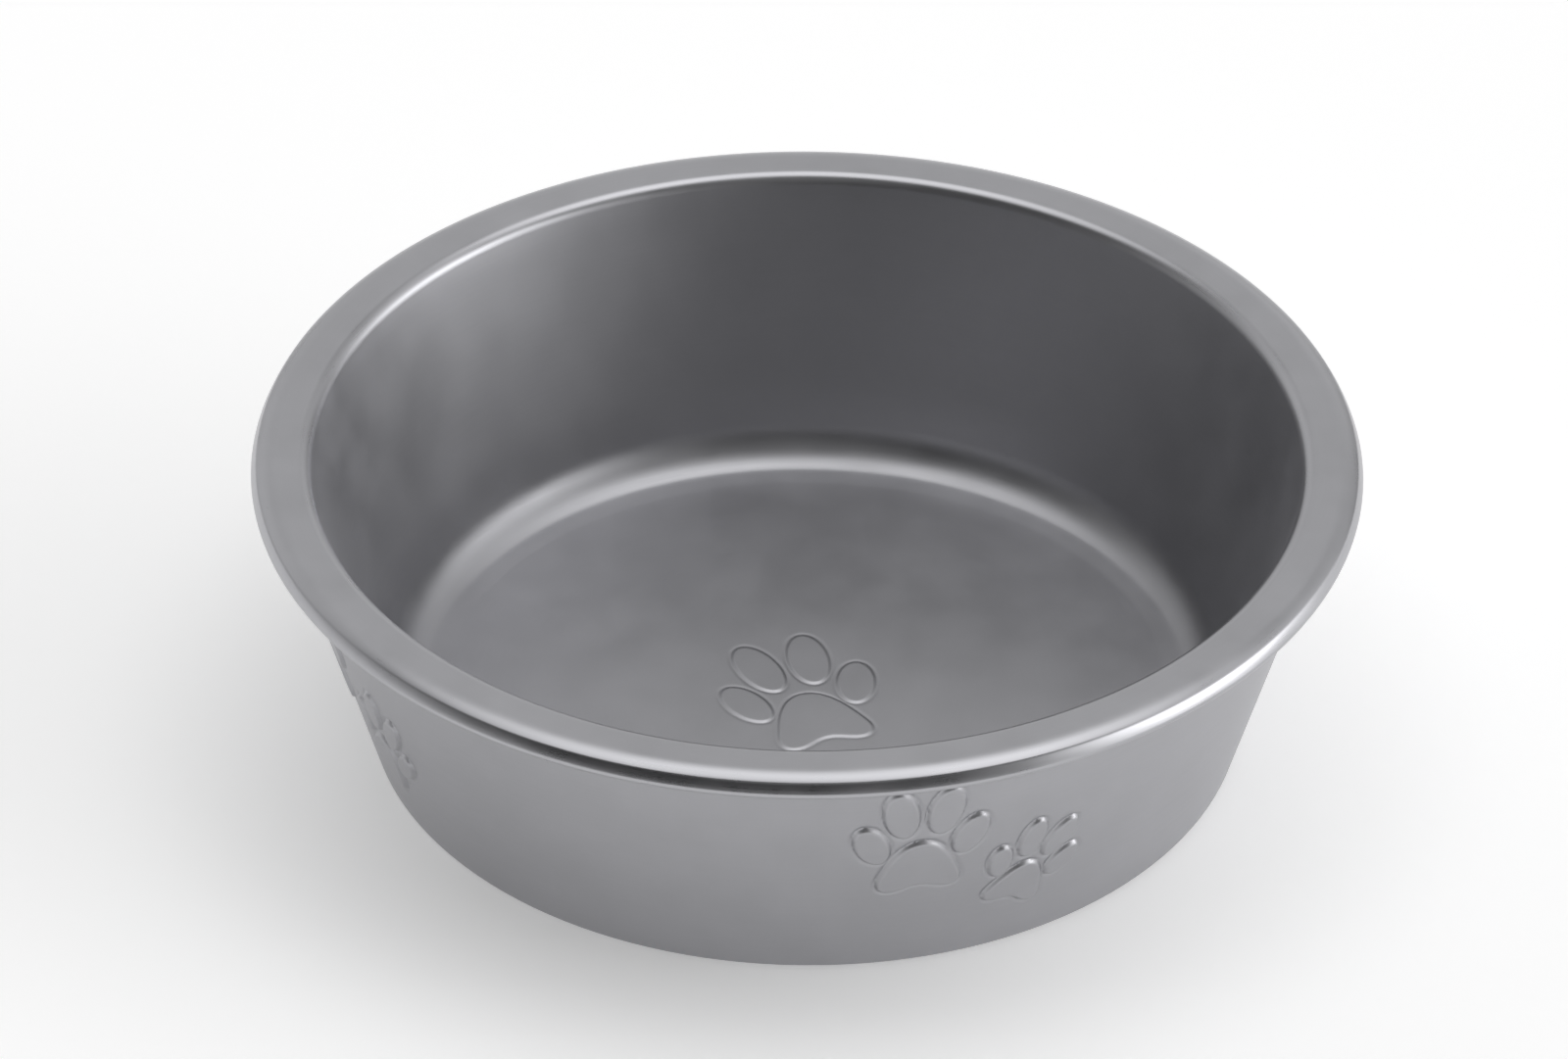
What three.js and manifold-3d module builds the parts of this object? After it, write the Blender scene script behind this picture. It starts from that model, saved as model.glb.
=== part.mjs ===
// Pet food bowl: a pressed inner bowl with a rolled rim, dropped into a tapered outer shell that
// carries embossed paw prints, on a rubber ring set into the shell's base.
// Millimetres, +Z up. The origin is on the table, under the bowl's axis, and -Y is the front.
import * as THREE from "three";
import { mergeVertices } from "three/addons/utils/BufferGeometryUtils.js";
import Module from "manifold-3d";

// Overall size
const RIM_DIAMETER = 220;
const HEIGHT = 63; // from the table to the top of the rim

// Inner bowl, from the rim inwards and down
const BOWL_SHEET = 1;
const FLANGE_WIDTH = 4.35; // flat ring between the rolled edge and the mouth
const MOUTH_FILLET = 3; // where the flange turns down into the wall
const BOWL_TILT = 16.4; // of the inner wall, in degrees from vertical
const COVE_RADIUS = 10.5; // between the wall and the ramp
const COVE_FOOT_SLOPE = 18; // of the cove where it meets the ramp, in degrees
const RAMP_WIDTH = 4.1; // shallow ring round the flat floor
const RAMP_SLOPE = 5; // degrees

// The rolled edge of the rim, from the flange outwards and under: how many degrees above level each bend
// ends up facing, and its radius. A flat hem runs back from the last bend.
const RIM_BENDS = [
  { facing: 58, radius: 7 }, // crowned top
  { facing: 30, radius: 1.3 }, // ridge
  { facing: 20, radius: 10 }, // outer face
  { facing: 0, radius: 1.2 }, // lower edge
  { facing: -90, radius: 1.2 },
];
const HEM_WIDTH = 4.5;

// Outer shell
const SHELL_SHEET = 0.8;
const SHELL_TILT = 16.9; // of the outer wall, in degrees from vertical
const SHELL_CORNER = 1.5; // outer radius between the wall and the base
const NECK_CORNER = 1.2; // outer radius between the neck and the seat lip
const NECK_CLEARANCE = 0.4; // between the neck and the end of the rim's hem
const SEAT_CLEARANCE = 0.3; // between the seat lip and the flange that rests on it
const FLOOR_CLEARANCE = 0.5; // between the ring's groove and the floor above it

// Rubber ring in the base
const RING_WIDTH = 10;
const RING_THICKNESS = 2.4;
const RING_PROUD = 1; // how far the ring holds the shell above the table
const RING_INSET = 7; // from the edge of the base to the ring
const RING_EDGE = 0.5; // chamfer on the ring's lower edges
const RING_CLEARANCE = 0.3; // between the ring and its groove

// Paw prints, embossed outwards on the wall and upwards on the floor
const WALL_RELIEF = 0.6;
const FLOOR_RELIEF = 0.2;
const PAW_PAIRS = 4; // pairs of a large and a small print, evenly round the wall
const LARGE_PAW = { padWidth: 16.3, azimuth: 13.6, drop: 29.4, turn: 1 };
const SMALL_PAW = { padWidth: 12.4, azimuth: 26.7, drop: 40.3, turn: -20 };
const FLOOR_PAW = { padWidth: 19, x: 3, y: -11, turn: 20 };
const RELIEF_ROOT = 0.3; // how far a pad is let into the sheet that it stands on
const RELIEF_MARGIN = 1.5; // plain wall kept between the prints and the rim

// A print's toes, in widths of its main pad from that pad's centre, with their lean in degrees
const TOES = [
  { across: 0.61, up: 0.585, halfWidth: 0.2, halfLength: 0.36, lean: 20 },
  { across: 0.275, up: 1.14, halfWidth: 0.215, halfLength: 0.435, lean: 9 },
];

// Facets: flat sides round the axis, and the most degrees that one facet of a section's arc takes
const SIDES = 64;
const ARC_STEP = 22.5;
const PAD_CURVE_POINTS = 5;

const wasm = await Module();
wasm.setup();

const radians = THREE.MathUtils.degToRad;
const sin = (degrees) => Math.sin(radians(degrees));
const cos = (degrees) => Math.cos(radians(degrees));
const tan = (degrees) => Math.tan(radians(degrees));
const point = (radius, z) => new THREE.Vector2(radius, z);

// Points of an arc in the section plane, from one angle to another, in degrees from +radius to +z.
function arc(centre, radius, from, to) {
  const steps = Math.ceil(Math.abs(to - from) / ARC_STEP);
  const curve = new THREE.EllipseCurve(
    centre.x, centre.y, radius, radius, radians(from), radians(to), to < from,
  );
  return curve.getPoints(steps);
}

// Points along the rim's bends from the flange's edge at one radius, `below` under the outer surface.
function rimBends(edgeRadius, below) {
  const points = [point(edgeRadius, HEIGHT - below)];
  const surface = point(edgeRadius, HEIGHT);
  let facing = 90;
  for (const bend of RIM_BENDS) {
    const centre = point(surface.x - bend.radius * cos(facing), surface.y - bend.radius * sin(facing));
    points.push(...arc(centre, bend.radius - below, facing, bend.facing).slice(1));
    facing = bend.facing;
    surface.set(centre.x + bend.radius * cos(facing), centre.y + bend.radius * sin(facing));
  }
  return points;
}

// A body of revolution about Z. The section runs with the material on its left.
function turned(section) {
  return new THREE.LatheGeometry(section, SIDES).rotateX(Math.PI / 2);
}

function solidOf(geometry) {
  const bare = geometry.clone();
  bare.deleteAttribute("normal");
  bare.deleteAttribute("uv");
  const merged = mergeVertices(bare);
  return new wasm.Manifold(new wasm.Mesh({
    numProp: 3,
    vertProperties: merged.getAttribute("position").array,
    triVerts: Uint32Array.from(merged.index.array),
  }));
}

function geometryOf(solid) {
  const { vertProperties, triVerts } = solid.getMesh();
  const geometry = new THREE.BufferGeometry();
  geometry.setAttribute("position", new THREE.BufferAttribute(vertProperties, 3));
  geometry.setIndex(new THREE.BufferAttribute(triVerts, 1));
  geometry.computeVertexNormals();
  return geometry;
}

// The rim and the sizes that follow from it
const rimReach = Math.max(...rimBends(0, 0).map(({ x }) => x));
const flangeEdge = RIM_DIAMETER / 2 - rimReach;
const hemStart = rimBends(flangeEdge, 0).at(-1);
const hemEnd = point(hemStart.x - HEM_WIDTH, hemStart.y);
const mouth = point(flangeEdge - FLANGE_WIDTH, HEIGHT - MOUTH_FILLET);

// The stack under the food, from the table up
const baseZ = RING_PROUD;
const grooveRoofZ = RING_THICKNESS + RING_CLEARANCE;
const floorZ = grooveRoofZ + SHELL_SHEET + FLOOR_CLEARANCE + BOWL_SHEET;

// The inner wall, worked down from the mouth to the flat floor
const rampRise = RAMP_WIDTH * tan(RAMP_SLOPE);
const coveZ = floorZ + rampRise + COVE_RADIUS * cos(COVE_FOOT_SLOPE);
const wallTop = point(mouth.x - MOUTH_FILLET * cos(BOWL_TILT), mouth.y + MOUTH_FILLET * sin(BOWL_TILT));
const wallFootZ = coveZ - COVE_RADIUS * sin(BOWL_TILT);
const wallFootRadius = wallTop.x - (wallTop.y - wallFootZ) * tan(BOWL_TILT);
const cove = point(wallFootRadius - COVE_RADIUS * cos(BOWL_TILT), coveZ);
const floorRadius = cove.x + COVE_RADIUS * sin(COVE_FOOT_SLOPE) - RAMP_WIDTH;

// The outer wall, worked down from the neck inside the rim's hem
const neckRadius = hemEnd.x - NECK_CLEARANCE;
const neckZ = hemEnd.y;
const seatZ = HEIGHT - BOWL_SHEET - SEAT_CLEARANCE;
const baseRadius = neckRadius - (neckZ - baseZ) * tan(SHELL_TILT);
const ringOuter = baseRadius - RING_INSET;
const ringInner = ringOuter - RING_WIDTH;
const wallRadius = (z) => baseRadius + (z - baseZ) * tan(SHELL_TILT);

// One pressed sheet: floor, ramp, cove, wall, mouth and flange, ending in the rolled edge.
function innerBowl() {
  const coveFrom = COVE_FOOT_SLOPE - 90;
  const coveTo = -BOWL_TILT;
  const mouthFrom = 180 - BOWL_TILT;
  const underside = floorZ - BOWL_SHEET;
  const section = [
    point(0, floorZ),
    point(floorRadius, floorZ),
    ...arc(cove, COVE_RADIUS, coveFrom, coveTo),
    ...arc(mouth, MOUTH_FILLET, mouthFrom, 90),
    ...rimBends(flangeEdge, 0),
    hemEnd,
    point(hemEnd.x, hemEnd.y + BOWL_SHEET),
    ...rimBends(flangeEdge, BOWL_SHEET).reverse(),
    ...arc(mouth, MOUTH_FILLET - BOWL_SHEET, 90, mouthFrom),
    ...arc(cove, COVE_RADIUS + BOWL_SHEET, coveTo, coveFrom),
    point(floorRadius, underside),
    point(0, underside),
  ];
  return geometryOf(solidOf(turned(section.reverse())).add(floorPaw()));
}

// One pressed sheet: base with a groove for the ring, wall, neck, and the lip that the flange rests on.
function outerShell() {
  const grooveOuter = ringOuter + RING_CLEARANCE;
  const grooveInner = ringInner - RING_CLEARANCE;
  const cornerRadius = wallRadius(baseZ + SHELL_CORNER) - SHELL_CORNER / cos(SHELL_TILT);
  const corner = point(cornerRadius, baseZ + SHELL_CORNER);
  const neckTop = point(neckRadius - NECK_CORNER, seatZ - NECK_CORNER);
  const sheetAcross = SHELL_SHEET / cos(SHELL_TILT); // thickness of the leaning wall, measured level
  const innerNeck = neckRadius - SHELL_SHEET;
  const innerNeckZ = baseZ + (innerNeck + sheetAcross - baseRadius) / tan(SHELL_TILT);
  const panelTop = baseZ + SHELL_SHEET;
  const roofTop = grooveRoofZ + SHELL_SHEET;
  const section = [
    point(0, baseZ),
    point(grooveInner, baseZ),
    point(grooveInner, grooveRoofZ),
    point(grooveOuter, grooveRoofZ),
    point(grooveOuter, baseZ),
    ...arc(corner, SHELL_CORNER, -90, -SHELL_TILT),
    point(neckRadius, neckZ),
    ...arc(neckTop, NECK_CORNER, 0, 90),
    point(mouth.x, seatZ),
    point(mouth.x, seatZ - SHELL_SHEET),
    ...arc(neckTop, NECK_CORNER - SHELL_SHEET, 90, 0),
    point(innerNeck, innerNeckZ),
    ...arc(corner, SHELL_CORNER - SHELL_SHEET, -SHELL_TILT, -90),
    point(grooveOuter + SHELL_SHEET, panelTop),
    point(grooveOuter + SHELL_SHEET, roofTop),
    point(grooveInner - SHELL_SHEET, roofTop),
    point(grooveInner - SHELL_SHEET, panelTop),
    point(0, panelTop),
  ];
  return geometryOf(solidOf(turned(section)).add(wallPaws()));
}

// The non-slip ring, chamfered where it meets the table.
function nonSlipRing() {
  return turned([
    point(ringInner, RING_EDGE),
    point(ringInner + RING_EDGE, 0),
    point(ringOuter - RING_EDGE, 0),
    point(ringOuter, RING_EDGE),
    point(ringOuter, RING_THICKNESS),
    point(ringInner, RING_THICKNESS),
    point(ringInner, RING_EDGE),
  ]);
}

// A print's main pad, one width across: two lobes below a shallow notch, and a rounded top.
function mainPad(width) {
  const shape = new THREE.Shape();
  const curve = (...shares) => shape.bezierCurveTo(...shares.map((share) => share * width));
  shape.moveTo(0, -0.24 * width);
  curve(0.15, -0.24, 0.22, -0.34, 0.36, -0.34);
  curve(0.49, -0.34, 0.54, -0.22, 0.49, -0.08);
  curve(0.4, 0.2, 0.26, 0.57, 0, 0.57);
  curve(-0.26, 0.57, -0.4, 0.2, -0.49, -0.08);
  curve(-0.54, -0.22, -0.49, -0.34, -0.36, -0.34);
  curve(-0.22, -0.34, -0.15, -0.24, 0, -0.24);
  return shape;
}

// The five outlines of a print, flat, with the toes towards +Y.
function pawOutlines(width) {
  const outlines = [mainPad(width)];
  for (const toe of TOES) {
    for (const side of [-1, 1]) {
      outlines.push(new THREE.Shape().absellipse(
        side * toe.across * width, toe.up * width, toe.halfWidth * width, toe.halfLength * width,
        0, 2 * Math.PI, false, radians(-side * toe.lean),
      ));
    }
  }
  return outlines;
}

// Solid pads of one print, each `depth` thick, standing on the plane that `place` puts in the bowl.
function pawPads(width, depth, place) {
  const pads = pawOutlines(width).map((outline) => {
    const settings = { depth, bevelEnabled: false, curveSegments: PAD_CURVE_POINTS };
    return solidOf(new THREE.ExtrudeGeometry(outline, settings).applyMatrix4(place));
  });
  return pads.reduce((all, pad) => all.add(pad));
}

function floorPaw() {
  const { padWidth, x, y, turn } = FLOOR_PAW;
  const place = new THREE.Matrix4().makeTranslation(x, y, floorZ - RELIEF_ROOT);
  place.multiply(new THREE.Matrix4().makeRotationZ(radians(turn)));
  return pawPads(padWidth, RELIEF_ROOT + FLOOR_RELIEF, place);
}

// A print's plane on the wall: across, up the slope and out of the wall, `below` under the surface.
function wallPlace(azimuth, z, turn, below) {
  const across = new THREE.Vector3(cos(azimuth), sin(azimuth), 0);
  const out = new THREE.Vector3(
    sin(azimuth) * cos(SHELL_TILT), -cos(azimuth) * cos(SHELL_TILT), -sin(SHELL_TILT),
  );
  const up = new THREE.Vector3().crossVectors(out, across);
  const radius = wallRadius(z);
  const origin = new THREE.Vector3(radius * sin(azimuth), -radius * cos(azimuth), z);
  origin.addScaledVector(out, -below);
  const place = new THREE.Matrix4().makeBasis(across, up, out).setPosition(origin);
  return place.multiply(new THREE.Matrix4().makeRotationZ(radians(turn)));
}

// The part of the wall's thickness that the prints take up, as a tapered band.
function reliefBand() {
  const low = baseZ + SHELL_CORNER;
  const high = neckZ - RELIEF_MARGIN;
  const outward = WALL_RELIEF / cos(SHELL_TILT);
  const inward = RELIEF_ROOT / cos(SHELL_TILT);
  return turned([
    point(wallRadius(low) - inward, low),
    point(wallRadius(low) + outward, low),
    point(wallRadius(high) + outward, high),
    point(wallRadius(high) - inward, high),
    point(wallRadius(low) - inward, low),
  ]);
}

function wallPaws() {
  const prints = [];
  for (let pair = 0; pair < PAW_PAIRS; pair++) {
    for (const { padWidth, azimuth, drop, turn } of [LARGE_PAW, SMALL_PAW]) {
      // The flat pads are as deep as the wall curves away across the print, so that they reach it all over.
      const depth = padWidth / 2;
      const place = wallPlace(azimuth + (pair * 360) / PAW_PAIRS, neckZ - drop, turn, depth / 2);
      prints.push(pawPads(padWidth, depth, place));
    }
  }
  return prints.reduce((all, print) => all.add(print)).intersect(solidOf(reliefBand()));
}

const satinSteel = { color: 0xadadb1, metalness: 1, roughness: 0.3 };
const blackRubber = { color: 0x303032, metalness: 0, roughness: 0.8 };

function node(name, geometry, finish) {
  const mesh = new THREE.Mesh(geometry, new THREE.MeshStandardMaterial(finish));
  mesh.name = name;
  return mesh;
}

const petBowl = new THREE.Group();
petBowl.name = "pet_food_bowl";
petBowl.add(
  node("inner_bowl", innerBowl(), satinSteel),
  node("outer_shell", outerShell(), satinSteel),
  node("non_slip_ring", nonSlipRing(), blackRubber),
);

export default petBowl;
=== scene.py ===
"""Pet food bowl: smooth sheet-metal surfaces, finishes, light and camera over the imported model."""
import math

import bpy
import numpy as np
from mathutils import Matrix, Vector


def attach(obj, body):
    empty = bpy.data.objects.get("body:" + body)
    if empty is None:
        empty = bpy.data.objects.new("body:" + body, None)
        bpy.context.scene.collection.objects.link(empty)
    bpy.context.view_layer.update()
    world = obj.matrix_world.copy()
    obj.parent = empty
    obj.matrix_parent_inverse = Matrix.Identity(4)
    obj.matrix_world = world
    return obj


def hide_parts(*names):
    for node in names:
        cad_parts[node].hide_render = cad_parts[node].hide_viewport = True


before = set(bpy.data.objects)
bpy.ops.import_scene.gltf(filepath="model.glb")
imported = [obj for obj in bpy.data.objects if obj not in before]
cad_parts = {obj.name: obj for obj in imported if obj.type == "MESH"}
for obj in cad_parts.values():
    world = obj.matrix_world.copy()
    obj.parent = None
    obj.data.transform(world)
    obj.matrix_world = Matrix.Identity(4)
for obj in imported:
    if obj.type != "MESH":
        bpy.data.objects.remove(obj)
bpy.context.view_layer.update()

# Sizes in millimetres and degrees, the same as the solids'. The origin is on the table, under the axis.
MM = 0.001
RIM_DIAMETER = 220
HEIGHT = 63

BOWL_SHEET = 1
FLANGE_WIDTH = 4.35
MOUTH_FILLET = 3
BOWL_TILT = 16.4
COVE_RADIUS = 10.5
COVE_FOOT_SLOPE = 18
RAMP_WIDTH = 4.1
RAMP_SLOPE = 5

# The rolled edge of the rim: how many degrees above level each bend ends up facing, and its radius
RIM_BENDS = [(58, 7), (30, 1.3), (20, 10), (0, 1.2), (-90, 1.2)]
HEM_WIDTH = 4.5

SHELL_SHEET = 0.8
SHELL_TILT = 16.9
SHELL_CORNER = 1.5
NECK_CORNER = 1.2
NECK_CLEARANCE = 0.4
SEAT_CLEARANCE = 0.3
FLOOR_CLEARANCE = 0.5

RING_WIDTH = 10
RING_THICKNESS = 2.4
RING_PROUD = 1
RING_INSET = 7
RING_EDGE = 0.5
RING_CLEARANCE = 0.3
RING_GROOVE_CORNER = 0.4
RING_GROOVE_MARGIN = 2  # flat stretch of the base beside the groove's corners

WALL_RELIEF = 0.6
FLOOR_RELIEF = 0.2
PAW_EDGE = 0.8  # width of the slope round a pad
PAD_GROOVE_OFFSET = 0.45  # from a pad's outline to the middle of the shallow groove round it
PAD_GROOVE_WIDTH = 0.4
PAD_GROOVE_SHARE = 0.4  # depth of the groove, as a share of the relief
PAW_PAIRS = 4
PAW_REACH = 2  # from a print's middle to past its toes, in widths of its main pad
LARGE_PAW = {"width": 16.3, "azimuth": 13.6, "drop": 29.4, "turn": 1}
SMALL_PAW = {"width": 12.4, "azimuth": 26.7, "drop": 40.3, "turn": -20}
FLOOR_PAW = {"width": 19, "x": 3, "y": -11, "turn": 20}

# A print in widths of its main pad: half of that pad's outline, as three cubic curves from the notch
# below to the top, and the toes.
HALF_PAD = [
    (0, -0.24), (0.15, -0.24), (0.22, -0.34), (0.36, -0.34), (0.49, -0.34),
    (0.54, -0.22), (0.49, -0.08), (0.4, 0.2), (0.26, 0.57), (0, 0.57),
]
TOES = [
    {"across": 0.61, "up": 0.585, "half_width": 0.2, "half_length": 0.36, "lean": 20},
    {"across": 0.275, "up": 1.14, "half_width": 0.215, "half_length": 0.435, "lean": 9},
]

# Fineness of the meshes
BOWL_SIDES = 400
RING_SIDES = 240
FINE_STEP = 0.28  # between the rings of the floor and the wall that carry a print, in mm
PLAIN_STEP = 4  # between those of the stretches that don't
RAMP_STEP = 1
BASE_STEP = 12
UNDERSIDE_STEP = 24
PRINT_REACH = 26  # radius of the part of the floor that carries the print
PRINT_DROPS = (3, 49)  # how far below the neck the part of the wall that carries prints begins and ends
ARC_STEP = 6  # degrees to a facet on the arcs that show
COVE_STEP = 3
HIDDEN_STEP = 15  # degrees to a facet on the arcs that don't
CREASE = 0.3  # half the width over which a crease turns
CREASE_TURN = 1.5  # degrees of the cove that the crease at its foot takes up
PRINT_WINDOW = (3, 37)  # azimuths that a pair of prints lies between
FINE_TURN = 0.18  # degrees between the fine columns of the wall
PLAIN_TURN = 2.5  # degrees between the others
CURVE_POINTS = 16  # on each cubic curve of a main pad
TOE_POINTS = 64
SHARP_ANGLE = 40  # degrees from which an edge isn't smoothed
SAME = 1e-6  # lengths that differ by less count as equal


def sin(degrees):
    return math.sin(math.radians(degrees))


def cos(degrees):
    return math.cos(math.radians(degrees))


def tan(degrees):
    return math.tan(math.radians(degrees))


def arc(centre, radius, start, end, step=ARC_STEP):
    """Points (radius, z) of an arc, from one angle to another, in degrees from +radius to +z."""
    count = math.ceil(abs(end - start) / step) + 1
    return [
        (centre[0] + radius * cos(angle), centre[1] + radius * sin(angle))
        for angle in np.linspace(start, end, count)
    ]


def rim_bends(edge_radius, below=0, step=ARC_STEP):
    """Points along the rim's bends from the flange's edge, some way below the outer surface."""
    points = []
    surface, facing = (edge_radius, HEIGHT), 90
    for end, radius in RIM_BENDS:
        centre = (surface[0] - radius * cos(facing), surface[1] - radius * sin(facing))
        points.extend(arc(centre, radius - below, facing, end, step))
        surface, facing = arc(centre, radius, facing, end)[-1], end
    return points


# Sizes that follow from those above
flange_edge = RIM_DIAMETER / 2 - max(point[0] for point in rim_bends(0))
hem_start = rim_bends(flange_edge)[-1]
hem_end = (hem_start[0] - HEM_WIDTH, hem_start[1])
mouth = (flange_edge - FLANGE_WIDTH, HEIGHT - MOUTH_FILLET)

base_z = RING_PROUD
groove_roof_z = RING_THICKNESS + RING_CLEARANCE
floor_z = groove_roof_z + SHELL_SHEET + FLOOR_CLEARANCE + BOWL_SHEET

ramp_rise = RAMP_WIDTH * tan(RAMP_SLOPE)
cove_z = floor_z + ramp_rise + COVE_RADIUS * cos(COVE_FOOT_SLOPE)
wall_top = (mouth[0] - MOUTH_FILLET * cos(BOWL_TILT), mouth[1] + MOUTH_FILLET * sin(BOWL_TILT))
wall_foot_z = cove_z - COVE_RADIUS * sin(BOWL_TILT)
wall_foot_radius = wall_top[0] - (wall_top[1] - wall_foot_z) * tan(BOWL_TILT)
cove = (wall_foot_radius - COVE_RADIUS * cos(BOWL_TILT), cove_z)
floor_radius = cove[0] + COVE_RADIUS * sin(COVE_FOOT_SLOPE) - RAMP_WIDTH

neck_radius = hem_end[0] - NECK_CLEARANCE
neck_z = hem_end[1]
seat_z = HEIGHT - BOWL_SHEET - SEAT_CLEARANCE
base_radius = neck_radius - (neck_z - base_z) * tan(SHELL_TILT)
ring_outer = base_radius - RING_INSET
ring_inner = ring_outer - RING_WIDTH


def shell_radius(z):
    """Radius of the shell's outer face at a height, without its prints."""
    return base_radius + (z - base_z) * tan(SHELL_TILT)


def straight(start, end, spacing):
    """Points along a straight stretch of a section, both ends included."""
    count = math.ceil(math.dist(start, end) / spacing) + 1
    return [tuple(p) for p in np.linspace(start, end, count)]


def rounded(corners, radius, steps=4):
    """A run of straight stretches with each inner corner rounded."""
    corners = [np.array(c, float) for c in corners]
    points = [tuple(corners[0])]
    for before, corner, after in zip(corners, corners[1:], corners[2:]):
        back = (before - corner) / np.linalg.norm(before - corner)
        on = (after - corner) / np.linalg.norm(after - corner)
        for share in np.linspace(0, 1, steps + 1):
            points.append(tuple(corner + radius * (back * (1 - share) ** 2 + on * share ** 2)))
    points.append(tuple(corners[-1]))
    return points


def section_of(*stretches):
    """One section from several stretches, with no point twice in a row."""
    points = []
    for point in (p for stretch in stretches for p in stretch):
        if not points or math.dist(points[-1], point) > SAME:
            points.append(point)
    return np.array(points)


def swept(section, azimuths):
    """Points of a section turned about Z, as rows of points round the axis. Azimuth 0 is the front."""
    turn = np.radians(azimuths)
    radius = section[:, :1]
    height = np.broadcast_to(section[:, 1:], (len(section), len(turn)))
    return np.stack([radius * np.sin(turn), -radius * np.cos(turn), height], axis=2)


def turned_mesh(name, rows, closed=False):
    """A smooth mesh over rows of points round the axis. A row on the axis becomes one point."""
    count, sides = rows.shape[:2]
    on_axis = np.linalg.norm(rows[:, :, :2], axis=2).max(axis=1) < SAME
    index = np.empty((count, sides), int)
    points = []
    for row in range(count):
        kept = rows[row, :1] if on_axis[row] else rows[row]
        index[row] = len(points) + (0 if on_axis[row] else np.arange(sides))
        points.extend(kept * MM)
    faces = []
    for row in range(count if closed else count - 1):
        here, there = index[row], index[(row + 1) % count]
        beside_here, beside_there = np.roll(here, -1), np.roll(there, -1)
        if on_axis[row]:
            corners = [here, beside_there, there]
        elif on_axis[(row + 1) % count]:
            corners = [here, beside_here, there]
        else:
            corners = [here, beside_here, beside_there, there]
        faces.extend(np.stack(corners, axis=1).tolist())
    mesh = bpy.data.meshes.new(name)
    mesh.from_pydata([tuple(p) for p in points], [], faces)
    mesh.shade_smooth()
    mesh.set_sharp_from_angle(angle=math.radians(SHARP_ANGLE))
    piece = bpy.data.objects.new(name, mesh)
    bpy.context.collection.objects.link(piece)
    return piece


def pad_outlines(width):
    """The five outlines of a print, flat, with the toes towards +Y."""
    half = np.array(HALF_PAD)
    whole = np.concatenate([half, half[-2::-1] * (-1, 1)])
    share = np.linspace(0, 1, CURVE_POINTS, endpoint=False)[:, None]
    curves = []
    for first in range(0, len(whole) - 1, 3):
        a, b, c, d = whole[first:first + 4]
        curves.append(
            a * (1 - share) ** 3 + 3 * b * share * (1 - share) ** 2
            + 3 * c * share ** 2 * (1 - share) + d * share ** 3
        )
    outlines = [np.concatenate(curves) * width]
    round_toe = np.linspace(0, 2 * math.pi, TOE_POINTS, endpoint=False)
    for toe in TOES:
        for side in (-1, 1):
            across = toe["half_width"] * np.cos(round_toe)
            along = toe["half_length"] * np.sin(round_toe)
            lean = side * toe["lean"]
            x = side * toe["across"] + across * cos(lean) + along * sin(lean)
            y = toe["up"] - across * sin(lean) + along * cos(lean)
            outlines.append(np.stack([x, y], axis=1) * width)
    return outlines


def depth_inside(points, outline):
    """How far inside a closed outline each point is, and below 0 where it is outside."""
    start, end = outline, np.roll(outline, -1, axis=0)
    along = end - start
    offset = points[:, None] - start
    share = np.clip((offset * along).sum(axis=2) / (along ** 2).sum(axis=1), 0, 1)
    nearest = np.linalg.norm(offset - share[..., None] * along, axis=2).min(axis=1)
    crosses = (start[:, 1] > points[:, 1:]) != (end[:, 1] > points[:, 1:])
    rise = np.where(along[:, 1] == 0, 1, along[:, 1])
    at = start[:, 0] + along[:, 0] * (points[:, 1:] - start[:, 1]) / rise
    inside = (crosses & (points[:, :1] < at)).sum(axis=1) % 2 == 1
    return np.where(inside, nearest, -nearest)


def print_height(points, width, turn, relief):
    """Height of a print over points in its own plane, with a soft slope and a groove round each pad."""
    local = points @ np.array([[cos(turn), -sin(turn)], [sin(turn), cos(turn)]])
    raised, sunk = np.zeros(len(points)), np.zeros(len(points))
    margin = 2 * PAW_EDGE
    for outline in pad_outlines(width):
        low, high = outline.min(axis=0) - margin, outline.max(axis=0) + margin
        near = np.all((local > low) & (local < high), axis=1)
        depth = depth_inside(local[near], outline)
        share = np.clip(depth / PAW_EDGE + 0.5, 0, 1)
        raised[near] = np.maximum(raised[near], share ** 2 * (3 - 2 * share))
        groove = np.exp(-((depth + PAD_GROOVE_OFFSET) / PAD_GROOVE_WIDTH) ** 2)
        sunk[near] = np.maximum(sunk[near], groove)
    return relief * (raised - PAD_GROOVE_SHARE * sunk)


def emboss_floor(rows):
    """Raises the print on the floor of the bowl."""
    flat = rows.reshape(-1, 3)
    near = (flat[:, 2] == floor_z) & (np.linalg.norm(flat[:, :2], axis=1) < PRINT_REACH)
    places = flat[near, :2] - (FLOOR_PAW["x"], FLOOR_PAW["y"])
    flat[near, 2] += print_height(places, FLOOR_PAW["width"], FLOOR_PAW["turn"], FLOOR_RELIEF)


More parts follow.
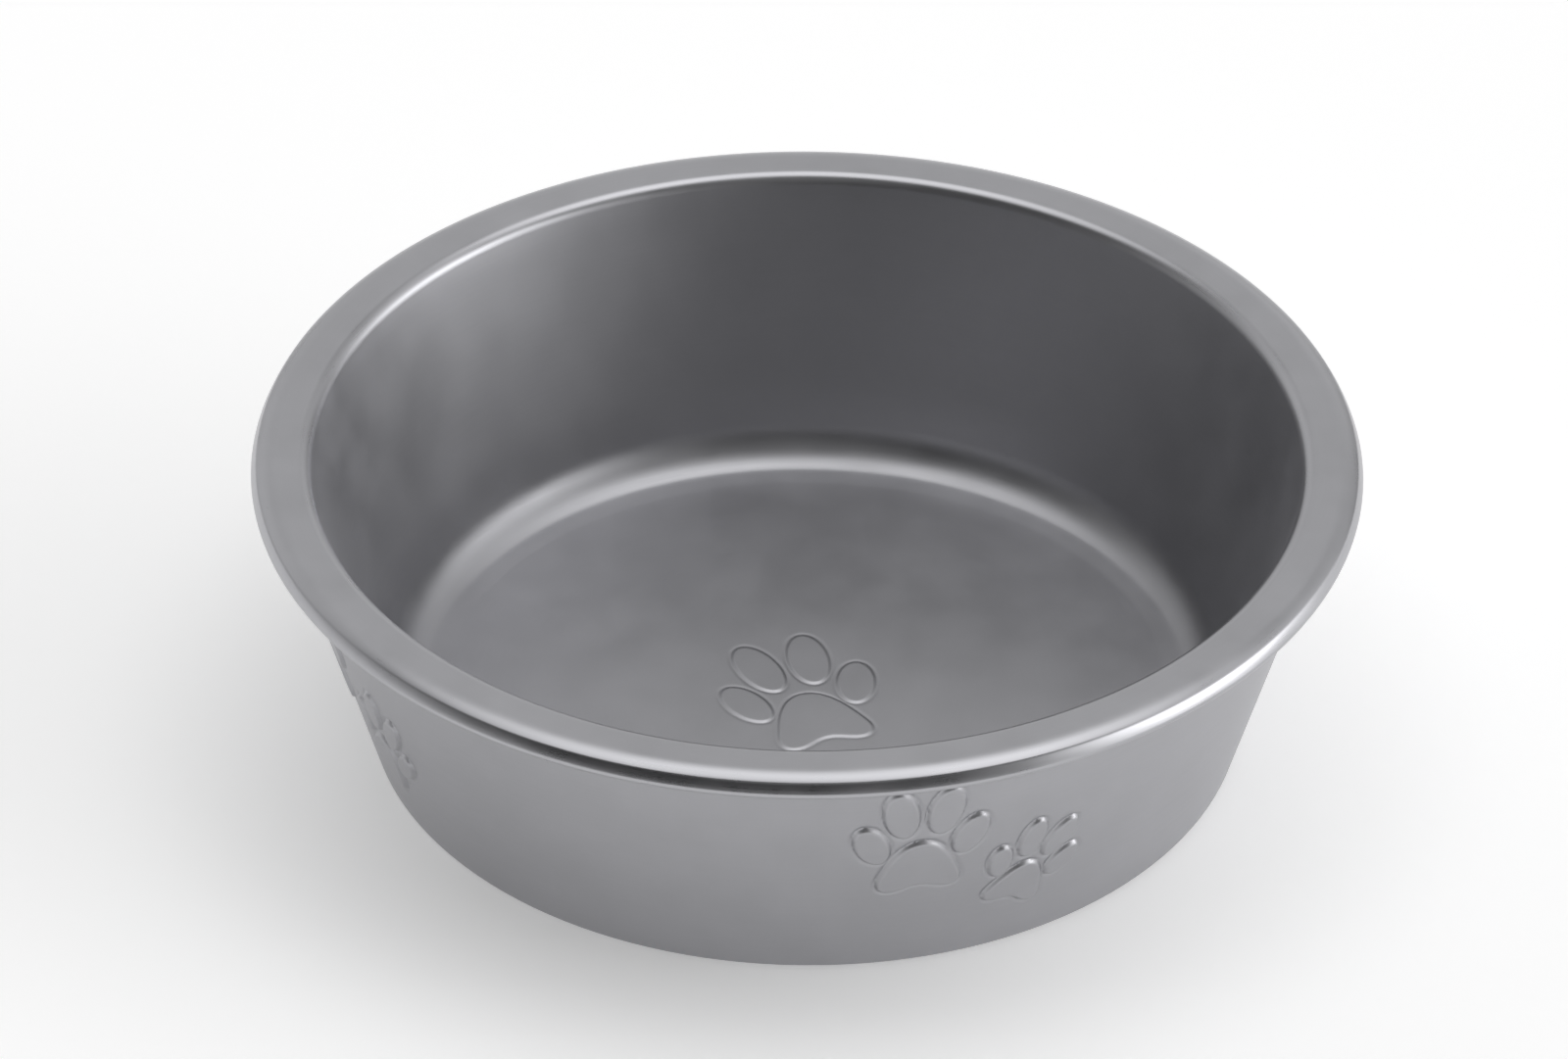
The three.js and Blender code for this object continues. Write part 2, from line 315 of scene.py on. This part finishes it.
def emboss_wall(rows):
    """Raises the prints on the outer face of the shell's wall.

    Each print is projected along the wall's normal at its middle.
    """
    flat = rows.reshape(-1, 3)
    radius = np.linalg.norm(flat[:, :2], axis=1)
    on_wall = np.abs(radius - shell_radius(flat[:, 2])) < SAME
    radial = flat[:, :2] / np.maximum(radius, SAME)[:, None]
    height = np.zeros(len(flat))
    for pair in range(PAW_PAIRS):
        for paw in (LARGE_PAW, SMALL_PAW):
            azimuth = paw["azimuth"] + pair * 360 / PAW_PAIRS
            z = neck_z - paw["drop"]
            middle = np.array([shell_radius(z) * sin(azimuth), -shell_radius(z) * cos(azimuth), z])
            across = np.array([cos(azimuth), sin(azimuth), 0])
            up = np.array([
                sin(azimuth) * sin(SHELL_TILT), -cos(azimuth) * sin(SHELL_TILT), cos(SHELL_TILT),
            ])
            near = on_wall & (np.linalg.norm(flat - middle, axis=1) < PAW_REACH * paw["width"])
            offset = flat[near] - middle
            places = np.stack([offset @ across, offset @ up], axis=1)
            height[near] += print_height(places, paw["width"], paw["turn"], WALL_RELIEF)
    flat[:, :2] += radial * (height * cos(SHELL_TILT))[:, None]
    flat[:, 2] -= height * sin(SHELL_TILT)


def make_inner_bowl():
    """The bowl's one sheet: its food side from the axis to the hem, and back along its hidden side."""
    cove_from, cove_to, mouth_from = COVE_FOOT_SLOPE - 90, -BOWL_TILT, 180 - BOWL_TILT
    underside = floor_z - BOWL_SHEET
    crease_rise = CREASE * tan(RAMP_SLOPE)
    ramp_foot = (floor_radius + CREASE, floor_z + crease_rise)
    ramp_top = (floor_radius + RAMP_WIDTH - CREASE, floor_z + ramp_rise - crease_rise)
    food_side = section_of(
        straight((0, floor_z), (PRINT_REACH, floor_z), FINE_STEP),
        straight((PRINT_REACH, floor_z), (floor_radius - CREASE, floor_z), PLAIN_STEP),
        straight(ramp_foot, ramp_top, RAMP_STEP),
        arc(cove, COVE_RADIUS, cove_from + CREASE_TURN, cove_to, COVE_STEP),
        straight((wall_foot_radius, wall_foot_z), wall_top, PLAIN_STEP),
        arc(mouth, MOUTH_FILLET, mouth_from, 90),
        rim_bends(flange_edge),
        [hem_end],
    )
    hidden_side = section_of(
        [(hem_end[0], hem_end[1] + BOWL_SHEET)],
        rim_bends(flange_edge, BOWL_SHEET, HIDDEN_STEP)[::-1],
        arc(mouth, MOUTH_FILLET - BOWL_SHEET, 90, mouth_from, HIDDEN_STEP),
        arc(cove, COVE_RADIUS + BOWL_SHEET, cove_to, cove_from, HIDDEN_STEP),
        straight((floor_radius, underside), (0, underside), UNDERSIDE_STEP),
    )
    section = np.concatenate([food_side, hidden_side])[::-1]
    rows = swept(section, np.arange(BOWL_SIDES) * 360 / BOWL_SIDES)
    emboss_floor(rows)
    return turned_mesh("bowl_liner", rows)


def wall_azimuths():
    """Columns of the shell, close together where the prints are."""
    columns = []
    for pair in range(PAW_PAIRS):
        start, end = (edge + pair * 360 / PAW_PAIRS for edge in PRINT_WINDOW)
        following = start + 360 / PAW_PAIRS
        columns.extend(np.arange(start, end, FINE_TURN))
        columns.extend(np.arange(end, following - PLAIN_TURN / 2, PLAIN_TURN))
    return np.array(columns)


def ring_groove(inner, outer, foot_z, roof_z):
    """Points over one face of the ring's groove, from its inner side to its outer side."""
    return rounded([
        (inner - RING_GROOVE_MARGIN, foot_z), (inner, foot_z), (inner, roof_z),
        (outer, roof_z), (outer, foot_z), (outer + RING_GROOVE_MARGIN, foot_z),
    ], RING_GROOVE_CORNER)


def make_outer_shell():
    """The shell's one sheet: its outside from the axis up to the seat lip, and back along its inside."""
    corner_z = base_z + SHELL_CORNER
    corner = (shell_radius(corner_z) - SHELL_CORNER / cos(SHELL_TILT), corner_z)
    corner_arc = arc(corner, SHELL_CORNER, -90, -SHELL_TILT)
    neck_top = (neck_radius - NECK_CORNER, seat_z - NECK_CORNER)
    sheet_across = SHELL_SHEET / cos(SHELL_TILT)
    inner_neck = neck_radius - SHELL_SHEET
    inner_neck_z = base_z + (inner_neck + sheet_across - base_radius) / tan(SHELL_TILT)
    panel_top, roof_top = base_z + SHELL_SHEET, groove_roof_z + SHELL_SHEET
    groove_inner, groove_outer = ring_inner - RING_CLEARANCE, ring_outer + RING_CLEARANCE
    ridge_inner, ridge_outer = groove_inner - SHELL_SHEET, groove_outer + SHELL_SHEET
    print_top, print_foot = ((shell_radius(neck_z - drop), neck_z - drop) for drop in PRINT_DROPS)
    outside = section_of(
        straight((0, base_z), (groove_inner - RING_GROOVE_MARGIN, base_z), BASE_STEP),
        ring_groove(groove_inner, groove_outer, base_z, groove_roof_z),
        corner_arc,
        straight(corner_arc[-1], print_foot, PLAIN_STEP),
        straight(print_foot, print_top, FINE_STEP),
        straight(print_top, (neck_radius, neck_z), PLAIN_STEP),
        arc(neck_top, NECK_CORNER, 0, 90, HIDDEN_STEP),
    )
    inside = section_of(
        [(mouth[0], seat_z), (mouth[0], seat_z - SHELL_SHEET)],
        arc(neck_top, NECK_CORNER - SHELL_SHEET, 90, 0, HIDDEN_STEP),
        [(inner_neck, inner_neck_z)],
        arc(corner, SHELL_CORNER - SHELL_SHEET, -SHELL_TILT, -90, HIDDEN_STEP),
        ring_groove(ridge_inner, ridge_outer, panel_top, roof_top)[::-1],
        straight((ridge_inner - RING_GROOVE_MARGIN, panel_top), (0, panel_top), BASE_STEP),
    )
    rows = swept(np.concatenate([outside, inside]), wall_azimuths())
    emboss_wall(rows)
    return turned_mesh("shell_pan", rows)


def make_ring():
    """The rubber ring, a closed section that starts and ends halfway up its inner side."""
    section = section_of(rounded([
        (ring_inner, RING_THICKNESS / 2), (ring_inner, 0), (ring_outer, 0),
        (ring_outer, RING_THICKNESS), (ring_inner, RING_THICKNESS), (ring_inner, RING_THICKNESS / 2),
    ], RING_EDGE))
    rows = swept(section[:-1], np.arange(RING_SIDES) * 360 / RING_SIDES)
    return turned_mesh("rubber_ring", rows, closed=True)


NOISE_RANGE = (0.3, 0.7)  # what a noise value mostly stays between


class Nodes:
    """Adds shader nodes to a tree, each with its settings and with what feeds its inputs."""

    def __init__(self, tree):
        self.tree = tree
        tree.nodes.clear()

    def add(self, kind, inputs=None, **settings):
        node = self.tree.nodes.new(kind)
        for name, value in settings.items():
            setattr(node, name, value)
        for name, value in (inputs or {}).items():
            if isinstance(value, bpy.types.NodeSocket):
                self.tree.links.new(value, node.inputs[name])
            else:
                node.inputs[name].default_value = value
        return node

    def math(self, operation, first, second=0.0):
        return self.add("ShaderNodeMath", {0: first, 1: second}, operation=operation).outputs[0]

    def noise(self, vector, scale, detail):
        inputs = {"Vector": vector, "Scale": scale, "Detail": detail}
        return self.add("ShaderNodeTexNoise", inputs).outputs["Fac"]

    def mix(self, share, first, second):
        """A colour between two others."""
        inputs = {"Factor": share, "A": first, "B": second}
        return self.add("ShaderNodeMix", inputs, data_type="RGBA").outputs["Result"]

    def ramp(self, value, start, end, low=0.0, high=1.0):
        """A soft step from one level to another between two values."""
        inputs = {"Value": value, "From Min": start, "From Max": end, "To Min": low, "To Max": high}
        return self.add("ShaderNodeMapRange", inputs, interpolation_type="SMOOTHSTEP").outputs["Result"]

    def spread(self, value, low, high):
        """A noise value stretched between two limits."""
        least, most = NOISE_RANGE
        inputs = {"Value": value, "From Min": least, "From Max": most, "To Min": low, "To Max": high}
        return self.add("ShaderNodeMapRange", inputs).outputs["Result"]


def new_material(name):
    material = bpy.data.materials.new(name)
    material.use_nodes = True
    return material, Nodes(material.node_tree)


def opaque(colour, share=1):
    """A colour made darker or lighter by a share, with the alpha that shader sockets ask for."""
    return (*[channel * share for channel in colour], 1)


STEEL = (0.44, 0.44, 0.46)
# Each texture of the steel: the scale and the detail of its noise
STEEL_MARKS = (2600, 3)
STEEL_MOTTLING = (70, 4)
STEEL_GRAIN = (3500, 2)
MARKS_PITCH = 0.0015  # what a radian round the axis counts for in the marks, in metres
MOTTLING_TINTS = (0.96, 1.03)  # darkest and lightest, as shares of the colour
MOTTLING_SWING = 0.03  # of the roughness, up and down
MARKS_SWING = 0.02
MARKS_SHARE = 0.5  # height of the marks, as a share of the grain's
STEEL_BUMP = {"Strength": 0.03, "Distance": 0.00005}


def satin_steel(name, colour, roughness, changes=()):
    """Satin steel: fine marks that run round the axis, a soft mottling and a faint grain.

    Each change of finish is a pair of radii in mm and the roughness that it ends at.
    """
    material, nodes = new_material(name)
    place = nodes.add("ShaderNodeTexCoord").outputs["Object"]
    x, y, z = nodes.add("ShaderNodeSeparateXYZ", {"Vector": place}).outputs
    squares = nodes.math("ADD", nodes.math("POWER", x, 2), nodes.math("POWER", y, 2))
    across = nodes.math("SQRT", squares)
    around = nodes.math("MULTIPLY", nodes.math("ARCTAN2", y, x), MARKS_PITCH)
    turned = nodes.add("ShaderNodeCombineXYZ", {"X": across, "Y": z, "Z": around}).outputs["Vector"]
    marks = nodes.noise(turned, *STEEL_MARKS)
    mottling = nodes.noise(place, *STEEL_MOTTLING)
    grain = nodes.noise(place, *STEEL_GRAIN)
    tint = nodes.mix(nodes.spread(mottling, 0, 1), *[opaque(colour, share) for share in MOTTLING_TINTS])
    for inner, outer, changed in changes:
        roughness = nodes.ramp(across, inner * MM, outer * MM, roughness, changed)
    variation = nodes.math(
        "ADD",
        nodes.spread(mottling, -MOTTLING_SWING, MOTTLING_SWING),
        nodes.spread(marks, -MARKS_SWING, MARKS_SWING),
    )
    relief = nodes.math("ADD", nodes.math("MULTIPLY", marks, MARKS_SHARE), grain)
    bump = nodes.add("ShaderNodeBump", {"Height": relief, **STEEL_BUMP})
    shader = nodes.add("ShaderNodeBsdfPrincipled", {
        "Base Color": tint,
        "Metallic": 1.0,
        "Roughness": nodes.math("ADD", variation, roughness),
        "Normal": bump.outputs["Normal"],
    })
    nodes.add("ShaderNodeOutputMaterial", {"Surface": shader.outputs["BSDF"]})
    return material


RUBBER = (0.024, 0.024, 0.026)
DUSTY_RUBBER = (0.042, 0.042, 0.044)
RUBBER_ROUGHNESS = (0.72, 0.86)
RUBBER_DUST = (120, 4)  # scale and detail
PEBBLE_SCALE = 1800
RUBBER_BUMP = {"Strength": 0.25, "Distance": 0.0001}


def black_rubber(name):
    """Moulded rubber: nearly black, with a fine pebbled skin and a little dust."""
    material, nodes = new_material(name)
    place = nodes.add("ShaderNodeTexCoord").outputs["Object"]
    dust = nodes.noise(place, *RUBBER_DUST)
    pebbles = nodes.add("ShaderNodeTexVoronoi", {"Vector": place, "Scale": PEBBLE_SCALE})
    bump = nodes.add("ShaderNodeBump", {"Height": pebbles.outputs["Distance"], **RUBBER_BUMP})
    shader = nodes.add("ShaderNodeBsdfPrincipled", {
        "Base Color": nodes.mix(nodes.spread(dust, 0, 1), opaque(RUBBER), opaque(DUSTY_RUBBER)),
        "Roughness": nodes.spread(dust, *RUBBER_ROUGHNESS),
        "Normal": bump.outputs["Normal"],
    })
    nodes.add("ShaderNodeOutputMaterial", {"Surface": shader.outputs["BSDF"]})
    return material


def dress(piece, material, node, body):
    """Gives a piece its material, and puts it in the place of a solid on a body."""
    piece.data.materials.append(material)
    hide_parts(node)
    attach(piece, body)


# Roughness of each stretch of the steel
FLOOR_FINISH = 0.4
WALL_FINISH = 0.49
EDGE_FINISH = 0.3
FLANGE_FINISH = 0.42
SHELL_FINISH = 0.44
# How far a change from one finish to the next runs out, in mm
WALL_CHANGE = 3.4
LIP_CHANGE = 0.8
CROWN_CHANGE = 2.6
BOWL_CHANGES = [
    (wall_foot_radius, wall_foot_radius + WALL_CHANGE, WALL_FINISH),
    (wall_top[0], wall_top[0] + LIP_CHANGE, EDGE_FINISH),
    (mouth[0] - LIP_CHANGE, mouth[0], FLANGE_FINISH),
    (flange_edge, flange_edge + CROWN_CHANGE, EDGE_FINISH),
]

bowl_satin = satin_steel("bowl_satin", STEEL, FLOOR_FINISH, BOWL_CHANGES)
shell_satin = satin_steel("shell_satin", STEEL, SHELL_FINISH)
dress(make_inner_bowl(), bowl_satin, "inner_bowl", "bowl")
dress(make_outer_shell(), shell_satin, "outer_shell", "shell")
dress(make_ring(), black_rubber("ring_black"), "non_slip_ring", "shell")


# The camera, fitted to the photograph
IMAGE_WIDTH = 1600  # pixels
FOCAL_PIXELS = 17023
SENSOR = 36  # mm
AIM_HEIGHT = 59.5  # mm
DISTANCE = 3.3  # metres
ELEVATION = 35.045  # degrees, as are the three turns below
YAW = 0.0954
PITCH = -0.2096
ROLL = 0.3837


def make_camera():
    """Looks at the middle of the rim from the front and above.

    It is then turned a little, to the framing of the photograph.
    """
    aim = Vector((0, 0, AIM_HEIGHT * MM))
    place = aim + DISTANCE * Vector((0, -cos(ELEVATION), sin(ELEVATION)))
    ahead = Matrix.Rotation(math.radians(YAW), 3, "Z") @ (aim - place).normalized()
    right = ahead.cross(Vector((0, 0, 1))).normalized()
    up = right.cross(ahead)
    ahead, up = ahead * cos(PITCH) + up * sin(PITCH), up * cos(PITCH) - ahead * sin(PITCH)
    right, up = right * cos(ROLL) + up * sin(ROLL), up * cos(ROLL) - right * sin(ROLL)
    data = bpy.data.cameras.new("camera")
    data.sensor_width = SENSOR
    data.lens = FOCAL_PIXELS * SENSOR / IMAGE_WIDTH
    camera = bpy.data.objects.new("camera", data)
    camera.matrix_world = Matrix.Translation(place) @ Matrix((right, up, -ahead)).transposed().to_4x4()
    bpy.context.collection.objects.link(camera)
    bpy.context.scene.camera = camera


FLOOR_HALF = 12  # metres from the middle of the floor to its edges
FLOOR_WHITE = (0.9, 0.9, 0.9)
FLOOR_LIFT = 0.32  # what the floor's white adds for the camera and in reflections


def make_floor():
    """A wide pale floor, lifted to white for the camera and in the metal, with the bowl's shadow on it.

    From underneath it is clear, so that the base shows.
    """
    material, nodes = new_material("floor_white")
    matt = nodes.add("ShaderNodeBsdfDiffuse", {"Color": opaque(FLOOR_WHITE)})
    path = nodes.add("ShaderNodeLightPath").outputs
    seen = nodes.math("MAXIMUM", path["Is Camera Ray"], path["Is Glossy Ray"])
    seen = nodes.math("MAXIMUM", seen, path["Is Transmission Ray"])
    lift = nodes.add("ShaderNodeEmission", {"Strength": nodes.math("MULTIPLY", seen, FLOOR_LIFT)})
    shader = nodes.add("ShaderNodeAddShader", {0: matt.outputs["BSDF"], 1: lift.outputs["Emission"]})
    underneath = nodes.add("ShaderNodeNewGeometry").outputs["Backfacing"]
    clear = nodes.add("ShaderNodeBsdfTransparent").outputs["BSDF"]
    one_sided = nodes.add("ShaderNodeMixShader", {0: underneath, 1: shader.outputs["Shader"], 2: clear})
    nodes.add("ShaderNodeOutputMaterial", {"Surface": one_sided.outputs["Shader"]})
    mesh = bpy.data.meshes.new("floor")
    corners = [(x * FLOOR_HALF, y * FLOOR_HALF, 0) for x, y in ((-1, -1), (1, -1), (1, 1), (-1, 1))]
    mesh.from_pydata(corners, [], [(0, 1, 2, 3)])
    mesh.materials.append(material)
    floor = bpy.data.objects.new("floor", mesh)
    bpy.context.collection.objects.link(floor)


# Soft lamps of the studio: azimuth from the front towards +X, elevation, sharpness and strength
LAMPS = [
    (90, 8, 25, 2.2),
    (90, 8, 8, 1.4),
    (70, 15, 25, 2.2),
    (90, 25, 15, 0.45),
    (120, 40, 15, 0.55),
    (160, 20, 15, 0.4),
    (180, 30, 12, 0.22),
    (180, 6, 7, 0.33),
    (225, 25, 7, 0.7),
    (270, 6, 15, 0.4),
    (0, 50, 25, 0.2),
]
OVERHEAD = 1.53  # strength of the panel over the bowl
OVERHEAD_RIGHT = 0.42  # what the panel's right side has over that
# Where the panel fades in and where its right side does, by the parts of a direction along an axis
PANEL_FRONT = (-0.3, -0.1)  # Y
PANEL_FOOT = (0.75, 0.95)  # Z
PANEL_RIGHT = (-0.1, 0.5)  # X
AMBIENT = 0.05  # strength of the light from everywhere else


def make_world():
    """A dim studio with a panel overhead, soft lamps low on the right and paler walls behind."""
    world = bpy.data.worlds.new("studio")
    world.use_nodes = True
    nodes = Nodes(world.node_tree)
    way = nodes.add("ShaderNodeTexCoord").outputs["Generated"]
    x, y, z = nodes.add("ShaderNodeSeparateXYZ", {"Vector": way}).outputs
    panel = nodes.math("MULTIPLY", nodes.ramp(y, *PANEL_FRONT), nodes.ramp(z, *PANEL_FOOT))
    level = nodes.ramp(x, *PANEL_RIGHT, OVERHEAD, OVERHEAD + OVERHEAD_RIGHT)
    strength = nodes.math("ADD", nodes.math("MULTIPLY", panel, level), AMBIENT)
    for azimuth, elevation, sharpness, lamp in LAMPS:
        aim = (sin(azimuth) * cos(elevation), -cos(azimuth) * cos(elevation), sin(elevation))
        facing = nodes.add("ShaderNodeVectorMath", {0: way, 1: aim}, operation="DOT_PRODUCT")
        turned_away = nodes.math("SUBTRACT", facing.outputs["Value"], 1)
        fall = nodes.math("EXPONENT", nodes.math("MULTIPLY", turned_away, sharpness))
        strength = nodes.math("ADD", strength, nodes.math("MULTIPLY", fall, lamp))
    background = nodes.add("ShaderNodeBackground", {"Color": (1, 1, 1, 1), "Strength": strength})
    nodes.add("ShaderNodeOutputWorld", {"Surface": background.outputs["Background"]})
    bpy.context.scene.world = world


make_camera()
make_floor()
make_world()
bpy.context.scene.view_settings.view_transform = "Standard"
